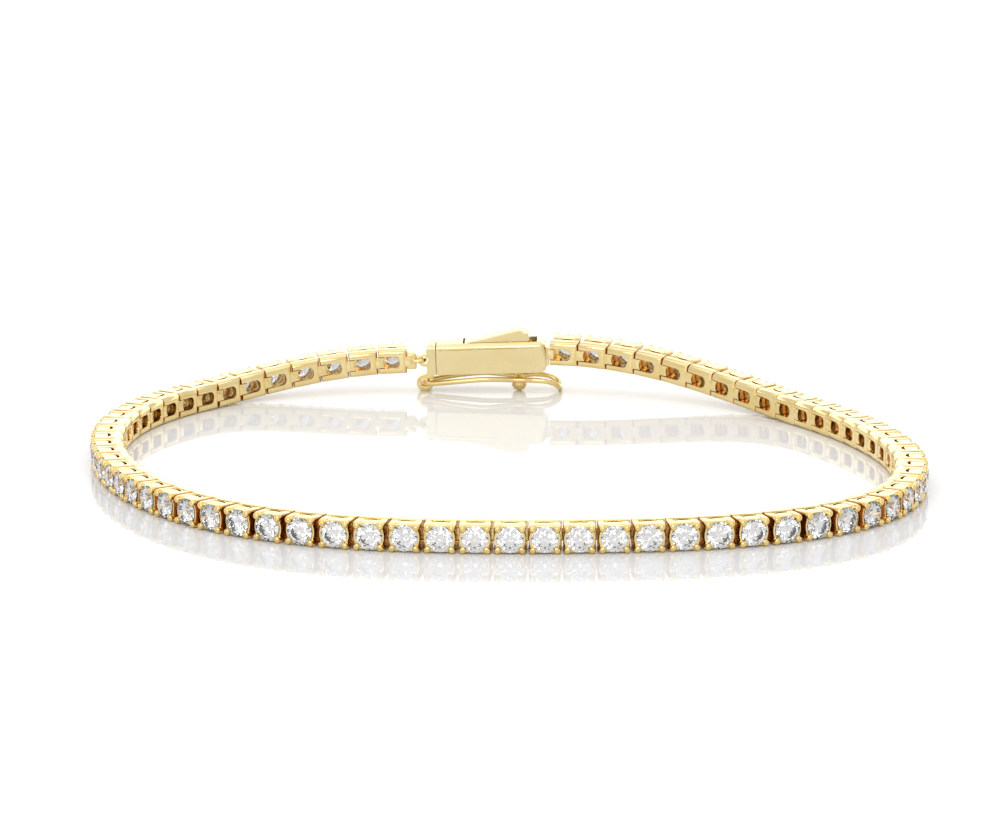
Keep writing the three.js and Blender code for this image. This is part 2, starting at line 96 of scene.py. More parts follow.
# Clasp
CLASP_CENTRE = -1.5
BOX_LENGTH = 8.9
BOX_DEPTH = 3.0
BOX_HEIGHT = 2.5
BOX_WALL = 0.3
BOX_STANDOFF = 0.06
BOX_ROUNDING = 0.38
PLATE_GROOVE = 0.012
BOX_LIFT = 1.6
CLASP_TILT = 1.7
END_PLATE = 0.75
EYE_RADIUS = 0.33
EYE_WALL = 0.2
EYE_LUG = 1.0
RIGHT_REACH = 0.5
LEFT_REACH = 2.1
RIGHT_RISE = 0.28
LEFT_RISE = -0.05
SLOT_START = 2.2
SLOT_END = 8.2
SLOT_WIDTH = 2.2
LEAF = 0.3
TONGUE_PLAY = 0.15
FOLD_AT = 1.0
FOLD_PLAY = 0.1
LEAF_END = 7.7
TONGUE_BLOCK = 0.7
MOUTH_REACH = 0.22
LUG_ROOT = 0.38
LEVER_PLAY = 0.12
LEVER_RISE = 0.95
LEVER_APEX = 6.75
LEVER_END = 7.6
LEVER_LIP = 0.15
LEVER_BACK = 0.55
WIRE_RADIUS = 0.21
LATCH_WIDTH = 2.7
HOOK_WALL = 0.38
HOOK_PLAY = 0.1
HOOK_WIDTH = 1.1
HOOK_AT = -0.95
HOOK_SWEEP = 285
STUD_AT = 6.65
BALL_RADIUS = 0.62
NECK_RADIUS = 0.32
FOOT_RADIUS = 0.58
BALL_PLAY = 0.09
LATCH_TIP = 10.05
LATCH_ARCH = 1.15
TIP_HEIGHT = 0.262
LOOP_WIRE = 0.17
LOOP_PLAY = 0.1
LOOP_OFFSET = 0.35
RIGHT_RAMP = 10
LEFT_RAMP = 8
RIGHT_ROLL = 10
LEFT_ROLL = 5
CLASP_SPAN = LEFT_REACH + BOX_LENGTH + RIGHT_REACH
BOX_Y = WRIST - BOX_STANDOFF + BOX_DEPTH / 2
BALL_HOLD = BALL_RADIUS + WIRE_RADIUS + BALL_PLAY
INSIDE_DEPTH = BOX_DEPTH / 2 - BOX_WALL
INSIDE_TOP = BOX_HEIGHT / 2 - BOX_WALL
LEAF_LOW = -INSIDE_TOP + TONGUE_PLAY
LEAF_HIGH = INSIDE_TOP - TONGUE_PLAY
LEAF_FRONT = BOX_Y - INSIDE_DEPTH + TONGUE_PLAY
LEAF_BACK = BOX_Y + INSIDE_DEPTH - TONGUE_PLAY

ROUTE = [
    (0.0, 25.6), (7.7, 25.0), (15.0, 21.9), (20.7, 16.6), (24.9, 10.1), (27.8, 3.2), (29.3, -4.1),
    (28.7, -12.0), (25.4, -18.9), (19.2, -23.2), (12.2, -25.0), (5.8, -25.5), (0.0, -25.6),
    (-5.8, -25.3), (-11.6, -24.1), (-17.2, -21.4), (-22.0, -16.8), (-25.5, -10.9), (-27.8, -3.9),
    (-28.7, 3.7), (-27.4, 11.7), (-23.2, 19.2), (-16.4, 24.1), (-8.0, 25.6),
]


# The chain's route: a closed cubic B-spline on which the hinges are set out one pitch apart.
# It is scaled, and the first hinge moved along it, until the clasp fits between the ends.

def route_at(u):
    first = math.floor(u)
    t = u - first
    weights = (
        (1 - t) ** 3 / 6,
        (3 * t ** 3 - 6 * t ** 2 + 4) / 6,
        (-3 * t ** 3 + 3 * t ** 2 + 3 * t + 1) / 6,
        t ** 3 / 6,
    )
    x = y = 0.0
    for k, weight in enumerate(weights):
        px, py = ROUTE[(first + k - 1) % len(ROUTE)]
        x += weight * px
        y += weight * py
    return x, y


def walk(scale, start):
    def miss(u, from_x, from_y):
        x, y = route_at(u)
        return math.hypot(x * scale - from_x, y * scale - from_y) - PITCH

    x, y = route_at(start)
    hinges = [(x * scale, y * scale)]
    u = start
    for _ in range(LINKS):
        here = hinges[-1]
        a, b = u + 0.25, u + 0.35
        at_a = miss(a, *here)
        for _ in range(20):
            at_b = miss(b, *here)
            if abs(at_b) < 1e-10 or at_b == at_a:
                break
            a, at_a, b = b, at_b, b - at_b * (b - a) / (at_b - at_a)
        u = b
        x, y = route_at(u)
        hinges.append((x * scale, y * scale))
    return hinges, u


def close_loop():
    gap = CLASP_SPAN * math.cos(CLASP_TILT * DEG)
    spacing = ROUTE[1][0] - ROUTE[0][0]
    start = 0.5
    for _ in range(8):
        low, high = 0.5, 2.0
        for _ in range(36):
            scale = (low + high) / 2
            hinges, end = walk(scale, start)
            apart = math.dist(hinges[-1], hinges[0])
            if end - start > len(ROUTE) or apart < gap:
                low = scale
            else:
                high = scale
        hinges, _ = walk(scale, start)
        start += (CLASP_CENTRE - (hinges[0][0] + hinges[-1][0]) / 2) / (spacing * scale)
    return walk(scale, start)[0]


from_above = close_loop()


def clasp_matrix():
    right, left = from_above[0], from_above[-1]
    turn = math.atan2(right[1] - left[1], right[0] - left[0])
    middle = Vector(((left[0] + right[0]) / 2, (left[1] + right[1]) / 2, BOX_LIFT + BOX_HEIGHT / 2))
    return (Matrix.Translation(middle) @ Matrix.Rotation(turn, 4, "Z")
            @ Matrix.Rotation(-CLASP_TILT * DEG, 4, "Y"))


CLASP = clasp_matrix()


# The clasp's own x at a distance from the box's left face
def from_face(distance):
    return distance + LEFT_REACH - CLASP_SPAN / 2


# The clasp's own z of a point that is this high over the floor
def over_floor(x, height):
    tilt = CLASP_TILT * DEG
    return (height - CLASP.translation.z - x * math.sin(tilt)) / math.cos(tilt)


# Each hinge's place, and the chain's roll there: it rises and rolls towards the clasp
def hinge_points():
    right_end = CLASP @ Vector((CLASP_SPAN / 2, 0, RIGHT_RISE))
    left_end = CLASP @ Vector((-CLASP_SPAN / 2, 0, LEFT_RISE))

    def ease(steps, ramp):
        return 0.0 if steps >= ramp else (1 + math.cos(math.pi * steps / ramp)) / 2

    points = []
    for i, (x, y) in enumerate(from_above):
        right, left = ease(i, RIGHT_RAMP), ease(LINKS - i, LEFT_RAMP)
        lift = right * (right_end.z - REST_HEIGHT) + left * (left_end.z - REST_HEIGHT)
        roll = DEG * (right * RIGHT_ROLL + left * LEFT_ROLL)
        points.append((Vector((x, y, REST_HEIGHT + lift)), roll))
    return points


def link_matrix(start, end):
    along = (end[0] - start[0]).normalized()
    out = Vector((0, 0, 1)).cross(along).normalized()
    up = along.cross(out)
    basis = Matrix((along, out, up)).transposed().to_4x4()
    return (Matrix.Translation((start[0] + end[0]) / 2) @ basis
            @ Matrix.Rotation((start[1] + end[1]) / 2, 4, "X"))


HINGES = hinge_points()
LINK_FRAMES = [link_matrix(a, b) for a, b in zip(HINGES, HINGES[1:])]
HALF = LINKS // 2


# Shapes are pairs of a vertex array and a list of faces

def joined(shapes):
    points, faces, count = [], [], 0
    for vertices, polygons in shapes:
        points.append(vertices)
        faces += [tuple(i + count for i in polygon) for polygon in polygons]
        count += len(vertices)
    return np.vstack(points), faces


def placed(shape, matrix):
    vertices, polygons = shape
    m = np.array(matrix)
    return vertices @ m[:3, :3].T + m[:3, 3], polygons


def mirrored(shape, sign_x, sign_z):
    vertices, polygons = shape
    flip = sign_x * sign_z < 0
    return vertices * (sign_x, 1, sign_z), [p[::-1] for p in polygons] if flip else polygons


def from_bmesh(bm):
    bm.verts.index_update()
    shape = np.array([v.co[:] for v in bm.verts]), [tuple(v.index for v in f.verts) for f in bm.faces]
    bm.free()
    return shape


# An outline in the x-z plane, extruded along y, its sharp edges rounded off. Edges whose
# two ends are both wide() are rounded first, by their own radius.
def slab(outline, low, high, rounding=0.05, segments=2, sharp=30, wide=None, wide_rounding=0.0):
    bm = bmesh.new()
    rings = [[bm.verts.new((x, level, z)) for x, z in outline] for level in (low, high)]
    count = len(outline)
    bm.faces.new(rings[0])
    bm.faces.new(rings[1][::-1])
    for i in range(count):
        j = (i + 1) % count
        bm.faces.new((rings[0][j], rings[0][i], rings[1][i], rings[1][j]))
    bmesh.ops.recalc_face_normals(bm, faces=bm.faces)
    if wide:
        edges = [e for e in bm.edges
                 if e.calc_face_angle(0) > sharp * DEG and all(wide(v.co) for v in e.verts)]
        bmesh.ops.bevel(bm, geom=edges, offset=wide_rounding, segments=4, profile=0.5,
                        affect="EDGES", clamp_overlap=False)
    if rounding:
        edges = [e for e in bm.edges if e.calc_face_angle(0) > sharp * DEG]
        bmesh.ops.bevel(bm, geom=edges, offset=rounding, segments=segments, profile=0.5,
                        affect="EDGES", clamp_overlap=True)
    return from_bmesh(bm)


# A block with sides along the axes
def brick(left, right, under, over, front, back, **rounded):
    outline = [(left, under), (right, under), (right, over), (left, over)]
    return slab(outline, front, back, **rounded)


# Rings of points joined into a tube; it is closed on itself, or capped at both ends
def tube(rings, closed=False):
    count = len(rings[0])
    vertices = np.array([p for ring in rings for p in ring], float)
    faces = []
    for r in range(len(rings) if closed else len(rings) - 1):
        s = (r + 1) % len(rings)
        for i in range(count):
            j = (i + 1) % count
            faces.append((r * count + i, r * count + j, s * count + j, s * count + i))
    if not closed:
        faces.append(tuple(range(count))[::-1])
        faces.append(tuple((len(rings) - 1) * count + i for i in range(count)))
    return vertices, faces


def around(k, steps):
    angle = 2 * math.pi * k / steps
    return math.cos(angle), math.sin(angle)


# A profile of (radius, height) turned about a line along y through (x, z)
def turned(profile, x, z, steps):
    count = len(profile)
    vertices = []
    for k in range(steps):
        c, s = around(k, steps)
        vertices += [(x + r * s, y, z + r * c) for r, y in profile]
    vertices += [(x, profile[0][1], z), (x, profile[-1][1], z)]
    low, high = len(vertices) - 2, len(vertices) - 1
    faces = []
    for k in range(steps):
        a, b = k * count, (k + 1) % steps * count
        faces += [(a + i, b + i, b + i + 1, a + i + 1) for i in range(count - 1)]
        faces += [(low, b, a), (high, a + count - 1, b + count - 1)]
    return np.array(vertices, float), faces


def arc(radius, start, end, steps, centre):
    angles = [DEG * (start + (end - start) * i / steps) for i in range(steps + 1)]
    return [(centre[0] + radius * math.cos(a), centre[1] + radius * math.sin(a)) for a in angles]


# A round bar along y or z
def bar(axis, radius, low, high, place, sides):
    rings = []
    for level in (low, high):
        ring = []
        for k in range(sides):
            a, b = (radius * share for share in around(k, sides))
            offset = {"y": (b, level, a), "z": (a, b, level)}[axis]
            ring.append([p + o for p, o in zip(place, offset)])
        rings.append(ring)
    return tube(rings)


# A round wire on a closed row of points
def closed_wire(points, radius, sides):
    points = [Vector(p) for p in points]
    count = len(points)
    rings = []
    for i, p in enumerate(points):
        tangent = (points[(i + 1) % count] - points[i - 1]).normalized()
        side = Vector((0, 0, 1)).cross(tangent).normalized()
        over = tangent.cross(side)
        rings.append([p + side * radius * c + over * radius * s
                      for c, s in (around(k, sides) for k in range(sides))])
    return tube(rings, closed=True)


# A closed centripetal Catmull-Rom curve at even steps of its length
def closed_curve(points, steps):
    points = [Vector(p) for p in points]
    count = len(points)
    dense, between = [], 24
    for i in range(count):
        p0, p1, p2, p3 = (points[(i + k) % count] for k in (-1, 0, 1, 2))
        d = [max((b - a).length, 1e-4) ** 0.5 for a, b in ((p0, p1), (p1, p2), (p2, p3))]
        m1 = ((p1 - p0) / d[0] - (p2 - p0) / (d[0] + d[1]) + (p2 - p1) / d[1]) * d[1]
        m2 = ((p2 - p1) / d[1] - (p3 - p1) / (d[1] + d[2]) + (p3 - p2) / d[2]) * d[1]
        for k in range(between):
            t = k / between
            dense.append((2 * t ** 3 - 3 * t ** 2 + 1) * p1 + (t ** 3 - 2 * t ** 2 + t) * m1
                         + (-2 * t ** 3 + 3 * t ** 2) * p2 + (t ** 3 - t ** 2) * m2)
    total = [0.0]
    for a, b in zip(dense, dense[1:] + dense[:1]):
        total.append(total[-1] + (b - a).length)
    out, j = [], 0
    for i in range(steps):
        goal = total[-1] * i / steps
        while total[j + 1] < goal:
            j += 1
        share = (goal - total[j]) / (total[j + 1] - total[j])
        out.append(dense[j].lerp(dense[(j + 1) % len(dense)], share))
    return out


# One link's metal

# Rails and cross plate with an oval window, whose other end is the next link's tongue
def link_base():
    rail_end = PITCH / 2 + HINGE_END
    plate_end = PITCH / 2 - HINGE_END - SEAM
    corner = WINDOW_CORNER
    window = (arc(corner, 90, 0, 6, (WINDOW_END - corner, RAIL_INNER - corner))
              + arc(corner, 0, -90, 6, (WINDOW_END - corner, corner - RAIL_INNER)))
    outline = [(-rail_end, -BASE_HALF), (plate_end, -BASE_HALF), (plate_end, BASE_HALF),
               (-rail_end, BASE_HALF), (-rail_end, RAIL_INNER)]
    outline += window + [(-rail_end, -RAIL_INNER)]
    return slab(outline, WRIST, RAIL_TOP, rounding=0.03, wide_rounding=RAIL_ROUNDING,
                wide=lambda p: p.y < 0 and abs(p.z) > BASE_HALF - 0.01)


def hinge_tongue():
    half = RAIL_INNER - HINGE_PLAY
    end = PITCH + WINDOW_START
    root = PITCH / 2 - HINGE_END - SEAM - TONGUE_ROOT
    across = (-half, -0.3, -0.15, 0, 0.15, 0.3, half)
    hollow = [(end - WINDOW_SAG * (1 - (z / half) ** 2), z) for z in across]
    outline = [(root, -half)] + hollow + [(root, half)]
    return slab(outline, WRIST + 0.01, CUP_LOW - 0.03, rounding=0.05)


# The cup round the stone: flat sides with a recessed panel, end walls bowed round the
# stone, and a lobe in each corner under its bead
CUP_QUARTER = [
    (1.095, 0.0), (1.085, 0.2), (1.04, 0.38), (1.005, 0.5), (1.03, 0.58), (1.085, 0.68), (1.11, 0.79),
    (1.11, 0.92), (1.08, 0.985), (1.01, 1.0), (0.65, 1.0), (0.61, 0.955), (0.3, 0.965), (0.0, 0.97),
]
CUP_SEAT = [(CUP_HOLE, -1.0), (CUP_HOLE, 1.15), (0.82, 1.62), (0.965, 1.84), (0.965, 2.5)]


def cup():
    quarter = CUP_QUARTER
    outline = (quarter + [(-x, z) for x, z in quarter[-2::-1]] + [(-x, -z) for x, z in quarter[1:]]
               + [(x, -z) for x, z in quarter[-2:0:-1]])
    outline = [(x + STONE_SHIFT, z) for x, z in outline]
    block = slab(outline, CUP_LOW, CUP_TOP, rounding=0.045, sharp=50)
    cutters = [turned(CUP_SEAT, STONE_SHIFT, 0, 36)]
    for low, high in ((ARC_SLOT_INNER, ARC_SLOT_OUTER), (-ARC_SLOT_OUTER, -ARC_SLOT_INNER)):
        rings = []
        for i in range(9):
            t = i / 8 * 2 - 1
            thick = ARC_SLOT_HALF * math.sqrt(max(0.05, 1 - t * t))
            middle = ARC_SLOT_HEIGHT + ARC_SLOT_BOW * t * t
            x = STONE_SHIFT + ARC_SLOT_REACH * t
            rings.append([(x, middle - thick, low), (x, middle + thick, low),
                          (x, middle + thick, high), (x, middle - thick, high)])
        cutters.append(tube(rings))
    return carved(block, cutters)


# A bead and the column under it; columns: height, centre along and across, radius along
# and across, and how far it grows over the stone
def prong():
    rows = [
        (1.45, 0.88, 0.79, 0.215, 0.205, 0.0),
        (1.72, 0.88, 0.785, 0.22, 0.21, 0.0),
        (1.85, 0.87, 0.775, 0.235, 0.24, 0.15),
        (1.95, 0.865, 0.765, 0.235, 0.24, 0.25),
        (2.03, 0.86, 0.76, 0.205, 0.21, 0.3),
        (2.085, 0.85, 0.75, 0.14, 0.145, 0.3),
        (PRONG_TOP, 0.845, 0.745, 0.055, 0.055, 0.2),
    ]
    sides = 14
    rings = []
    for y, cx, cz, rx, rz, reach in rows:
        ring = []
        for k in range(sides):
            c, s = around(k, sides)
            grow = 1 + reach * max(0.0, -(c + s) * math.sqrt(0.5)) ** 2
            ring.append((cx + rx * grow * c, y, cz + rz * grow * s))
        rings.append(ring[::-1])
    return tube(rings)


# Which gold each face of a link has; the numbers are the places in its list of materials. Inner faces get
# a darker gold as painted shade in the recesses, faces across the gap to the next link a dark painted
# shade, and the beads a deeper gold as painted shade
OUTSIDE, INSIDE, ON_BEAD, FACING_NEXT = range(4)


def face_materials(shape):
    vertices, faces = shape
    kinds = []
    for face in faces:
        corners = vertices[list(face)]
        middle = corners.mean(axis=0)
        following = np.roll(corners, -1, axis=0)
        normal = np.cross(corners - middle, following - middle).sum(axis=0)
        normal /= max(np.linalg.norm(normal), 1e-12)
        along, height, across = abs(middle[0] - STONE_SHIFT), middle[1], abs(middle[2])
        side = across > 0.9 and abs(normal[2]) > 0.35
        wrist = height < WRIST + 0.4 and normal[1] < -0.35
        rail = height < RAIL_TOP + 0.01 and (normal[1] > 0.9 or across > RAIL_INNER + 0.03)
        rim = height > 1.68
        if height > 1.5 and along > 0.62 and across > 0.5:
            kinds.append(ON_BEAD)
        elif abs(normal[0]) > 0.7 and along > 0.95:
            kinds.append(FACING_NEXT)
        else:
            kinds.append(OUTSIDE if side or wrist or rail or rim else INSIDE)
    return kinds


# The body on the chain's end that the loop passes through
def end_block():
    return brick(PITCH / 2 - END_BLOCK_ROOT, PITCH / 2 + END_BLOCK_REACH, -END_BLOCK_HALF,
                 END_BLOCK_HALF, WRIST + 0.02, END_BLOCK_TOP, rounding=0.16, segments=4)


def setting():
    one = prong()
    parts = [link_base(), hinge_tongue(), cup()]
    for sign_x in (-1, 1):
        for sign_z in (-1, 1):
            vertices, faces = mirrored(one, sign_x, sign_z)
            parts.append((vertices + (STONE_SHIFT, 0, 0), faces))
    reach = (BASE_HALF + RAIL_INNER) / 2
    parts.append(bar("z", PIN_RADIUS, -reach, reach, (-PITCH / 2, 0, 0), 12))
    return joined(parts)


# A 57-facet round brilliant; heights and radii here are shares of the girdle's radius
def brilliant():
    def ring(radius, height, shift):
        wide, level = STONE_RADIUS * radius, GIRDLE + STONE_RADIUS * height
        angles = [math.pi / 4 * (k + shift) for k in range(8)]
        return [(STONE_SHIFT + wide * math.sin(a), level, wide * math.cos(a)) for a in angles]

    half = math.cos(math.pi / 8)
    crown_slope = CROWN_HEIGHT / (1 - TABLE_SHARE)
    star, low = 0.77, 0.23
    edge = GIRDLE_BAND / 2
    points = (ring(TABLE_SHARE, CROWN_HEIGHT, 0) + ring(star, crown_slope * (1 - star * half), 0.5)
              + ring(1, edge, 0) + ring(1, edge, 0.5) + ring(1, -edge, 0) + ring(1, -edge, 0.5)
              + ring(low, -PAVILION_DEPTH * (1 - low * half), 0.5)
              + [(STONE_SHIFT, GIRDLE - STONE_RADIUS * PAVILION_DEPTH, 0)])
    table, stars, upper, upper_mid, lower, lower_mid, lows = (
        (lambda k, base=base: base + k % 8) for base in range(0, 56, 8))
    culet = 56
    faces = [tuple(table(k) for k in range(8))]
    for k in range(8):
        faces += [
            (table(k + 1), table(k), stars(k)),
            (stars(k - 1), upper(k), stars(k), table(k)),
            (upper(k), upper_mid(k), stars(k)),
            (upper_mid(k), upper(k + 1), stars(k)),
            (lower(k), lower_mid(k), upper_mid(k), upper(k)),
            (lower_mid(k), lower(k + 1), upper(k + 1), upper_mid(k)),
            (lower(k), lows(k), lower_mid(k)),
            (lower_mid(k), lows(k), lower(k + 1)),
            (lows(k - 1), culet, lows(k), lower(k)),
        ]
    bm = bmesh.new()
    made = [bm.verts.new(p) for p in points]
    for face in faces:
        bm.faces.new([made[i] for i in face])
    bmesh.ops.recalc_face_normals(bm, faces=bm.faces)
    return from_bmesh(bm)


# Clasp

# The hollow box, its end plate and the lug with the eye, as one shape
def box():
    left, face, right = from_face(-END_PLATE), from_face(0), from_face(BOX_LENGTH)
    top, front, back = BOX_HEIGHT / 2, BOX_Y - BOX_DEPTH / 2, BOX_Y + BOX_DEPTH / 2
    low_corner, high_corner = 0.5, 0.6

    def on_upper_edge(p):
        return p.z > 0 and (abs(p.y - front) < 1e-4 or abs(p.y - back) < 1e-4)

    outline = (
        [(face + PLATE_GROOVE, -top)]
        + arc(low_corner, -90, 0, 8, (right - low_corner, -top + low_corner))
        + arc(high_corner, 0, 90, 8, (right - high_corner, top - high_corner))
        + [(face + PLATE_GROOVE, top)]
    )
    case = slab(outline, front, back, rounding=0.08, segments=3,
                wide_rounding=BOX_ROUNDING, wide=on_upper_edge)
    plate = brick(left, face - PLATE_GROOVE, -top, top, front, back, rounding=0.07, segments=3,
                  wide_rounding=BOX_ROUNDING, wide=on_upper_edge)
    cavity = brick(from_face(BOX_WALL), right + 1, -INSIDE_TOP, INSIDE_TOP,
                   BOX_Y - INSIDE_DEPTH, BOX_Y + INSIDE_DEPTH, rounding=0)
    slot = brick(from_face(SLOT_START), from_face(SLOT_END), 0, top + 1,
                 BOX_Y - SLOT_WIDTH / 2, BOX_Y + SLOT_WIDTH / 2, rounding=0)
    eye_at = from_face(-END_PLATE - EYE_RADIUS / 2)
    reach, root = EYE_RADIUS + EYE_WALL, left + END_PLATE / 2
    outline = (arc(reach, 90, 270, 12, (eye_at, LEFT_RISE))
               + [(root, LEFT_RISE - reach), (root, LEFT_RISE + reach)])
    lug = slab(outline, LOOP_OFFSET - EYE_LUG / 2, LOOP_OFFSET + EYE_LUG / 2, rounding=0.06)
    eye = bar("y", EYE_RADIUS, front - 1, back + 1, (eye_at, 0, LEFT_RISE), 32)
    line_start, line_end = from_face(0.3), right - 0.9
    line = slab([(line_start, top - 0.5), (line_end, top - 0.42), (line_end, top - 0.38),
                 (line_start, top - 0.42)], front - 1, front + 0.2, rounding=0)
    return joined([carved(case, [cavity, slot, line]), carved(plate, [eye]), carved(lug, [eye])])


PIVOT_X = from_face(HOOK_AT)
HOOK_INNER = WIRE_RADIUS + HOOK_PLAY
PIVOT_Z = over_floor(PIVOT_X, HOOK_INNER + HOOK_WALL)
STUD_X = from_face(STUD_AT)


# The curled strip that the latch hangs in; its root ends inside the end plate
def hook():
    outer = HOOK_INNER + HOOK_WALL
    centre = (PIVOT_X, PIVOT_Z)
    under = -BOX_HEIGHT / 2
    tip = HOOK_WALL / 2
    end = 90 + HOOK_SWEEP
    cap = arc(HOOK_INNER + tip, end, end, 1, centre)[0]
    root, back = from_face(-END_PLATE / 3), from_face(-END_PLATE) + 0.02
    outline = (
        arc(outer, 100, end, 28, centre)
        + arc(tip, end, end + 180, 6, cap)[1:-1]
        + arc(HOOK_INNER, end, 90, 28, centre)
        + [(root, PIVOT_Z + HOOK_INNER), (root, under + 0.1), (back, under + 0.1), (back, under)]
    )
    return slab(outline, BOX_Y - HOOK_WIDTH / 2, BOX_Y + HOOK_WIDTH / 2, rounding=0.07, sharp=40)


# The ball that the latch snaps on, on its neck and foot; the profile is (radius, height)
def stud():
    ball_z = over_floor(STUD_X, BALL_RADIUS)
    steps, sides = 20, 32
    profile = [(0.05, ball_z - BALL_RADIUS)]
    for i in range(1, steps):
        angle = -math.pi / 2 + math.pi * i / steps
        r, z = BALL_RADIUS * math.cos(angle), ball_z + BALL_RADIUS * math.sin(angle)
        if z > ball_z and r < NECK_RADIUS:
            break
        profile.append((r, z))
    neck_low = ball_z + math.sqrt(BALL_RADIUS ** 2 - NECK_RADIUS ** 2)
    under = -BOX_HEIGHT / 2
    profile += [(NECK_RADIUS, neck_low + 0.03), (NECK_RADIUS, under - 0.3),
                (FOOT_RADIUS - 0.06, under - 0.26), (FOOT_RADIUS, under - 0.18),
                (FOOT_RADIUS, under + 0.05)]
    turns = [around(k, sides) for k in range(sides)]
    return tube([[(STUD_X + r * c, BOX_Y + r * s, z) for c, s in turns] for r, z in profile])


# The wire loop between the chain's end and the clasp's eye
def end_ring():
    start = -CLASP_SPAN / 2 + HINGE_END - LOOP_WIRE
    eye_at = from_face(-END_PLATE - EYE_RADIUS / 2)
    middle = (start + eye_at) / 2
    wide = EYE_LUG / 2 + LOOP_PLAY + LOOP_WIRE
    outline = [
        (start, 0), (start + LOOP_WIRE, wide * 0.8), (middle, wide), (eye_at - LOOP_WIRE, wide * 0.85),
        (eye_at, 0), (eye_at - LOOP_WIRE, -wide * 0.85), (middle, -wide),
        (start + LOOP_WIRE, -wide * 0.8),
    ]
    points = closed_curve([(x, y + LOOP_OFFSET, LEFT_RISE) for x, y in outline], 48)
    return closed_wire(points, LOOP_WIRE, 12)


# The lower leaf with the block in the box's mouth, and the lug in the first link
def tongue():
    block_end = from_face(BOX_LENGTH + MOUTH_REACH)
    block_start = block_end - TONGUE_BLOCK
    fold = from_face(FOLD_AT)
    leaf = slab([
        (fold, LEAF_LOW), (block_end, LEAF_LOW), (block_end, LEAF_HIGH), (block_start, LEAF_HIGH),
        (block_start, LEAF_LOW + LEAF), (fold, LEAF_LOW + LEAF),
    ], LEAF_FRONT, LEAF_BACK, rounding=0.06)
    pin = -PITCH / 2
    half = RAIL_INNER - HINGE_PLAY
    lug = brick(pin - LUG_ROOT, pin + HINGE_END, -half, half, WRIST, RAIL_TOP, rounding=0.05)
    return joined([placed(leaf, CLASP), placed(lug, LINK_FRAMES[0])])


# The upper leaf with the thumb's wedge
def lever():
    fold_x = from_face(FOLD_AT) + LEAF / 2
    fold_z = LEAF_LOW + LEAF + FOLD_PLAY + LEAF / 2
    leaf_end = from_face(LEAF_END)
    slope = (LEAF_HIGH - LEAF / 2 - fold_z) / (leaf_end - fold_x)
    top = BOX_HEIGHT / 2
    outline = (arc(LEAF / 2, 90, 270, 8, (fold_x, fold_z))
               + [(leaf_end, LEAF_HIGH - LEAF), (leaf_end, LEAF_HIGH)])
    leaf = slab(outline, LEAF_FRONT, LEAF_BACK, rounding=0.04)
    start = from_face(SLOT_START) + LEVER_PLAY
    foot = start + LEVER_RISE
    end = from_face(LEVER_END)
    apex_x, apex_z = from_face(LEVER_APEX), top + LEVER_RISE
    outline = [
        (start, top),
        (foot, fold_z + slope * (foot - fold_x)),
        (end, fold_z + slope * (end - fold_x)),
        (end, top + LEVER_LIP),
        (end - 0.12, top + LEVER_LIP + LEVER_BACK),
        (apex_x + 0.42, apex_z - 0.24),
        (apex_x + 0.14, apex_z - 0.03),
        (apex_x, apex_z),
    ]
    half = SLOT_WIDTH / 2
    press = slab(outline, BOX_Y - half + LEVER_PLAY, BOX_Y + half - LEVER_PLAY, rounding=0.07, segments=3)
    return joined([leaf, press])


# The figure-eight of wire. Columns of its one side: distance from the box's left face, half
# width, and height over the floor
def latch():
    hinge = HOOK_WIDTH / 2 + HOOK_PLAY + WIRE_RADIUS
    half = LATCH_WIDTH / 2 - 0.005
    pivot = HOOK_INNER + HOOK_WALL
    reach = LATCH_TIP - STUD_AT
    rows = [
        (HOOK_AT, hinge * 0.3, pivot),
        (HOOK_AT, hinge * 0.8, pivot),
        (HOOK_AT + WIRE_RADIUS * 2, hinge, pivot),
        (STUD_AT * 0.3, half, (pivot + 2 * LATCH_ARCH) / 3),
        (STUD_AT * 0.6, half, LATCH_ARCH),
        (STUD_AT, BALL_HOLD, LATCH_ARCH * 0.9),
        (STUD_AT + reach * 0.42, half * 0.94, LATCH_ARCH * 0.93),
        (STUD_AT + reach * 0.74, half * 0.88, LATCH_ARCH * 0.8),
        (STUD_AT + reach * 0.94, half * 0.68, LATCH_ARCH * 0.46),
        (LATCH_TIP - WIRE_RADIUS / 2, half * 0.3, TIP_HEIGHT),
    ]
    rows += [(at, -wide, height) for at, wide, height in reversed(rows)]
    points = [(from_face(at), BOX_Y + wide, over_floor(from_face(at), height))
              for at, wide, height in rows]
    return closed_wire(closed_curve(points, 200), WIRE_RADIUS, 16)


# Objects

# An object of the scene, in metres and in the solids' frame
def piece(name, shape, material, smooth_angle=None, frame_matrix=None):
    if frame_matrix is not None:
        shape = placed(shape, frame_matrix)
    vertices, faces = shape
    mesh = bpy.data.meshes.new(name)
    mesh.from_pydata(((vertices + np.array(SHIFT)) * MM).tolist(), [], faces)
    mesh.update()
    if smooth_angle is not None:
        mesh.shade_smooth()
        mesh.set_sharp_from_angle(angle=smooth_angle * DEG)
    mesh.materials.append(material)
    made = bpy.data.objects.new(name, mesh)
    bpy.context.scene.collection.objects.link(made)
    if smooth_angle is not None:
        weighted = made.modifiers.new("weighted_normals", "WEIGHTED_NORMAL")
        weighted.keep_sharp = True
    return made


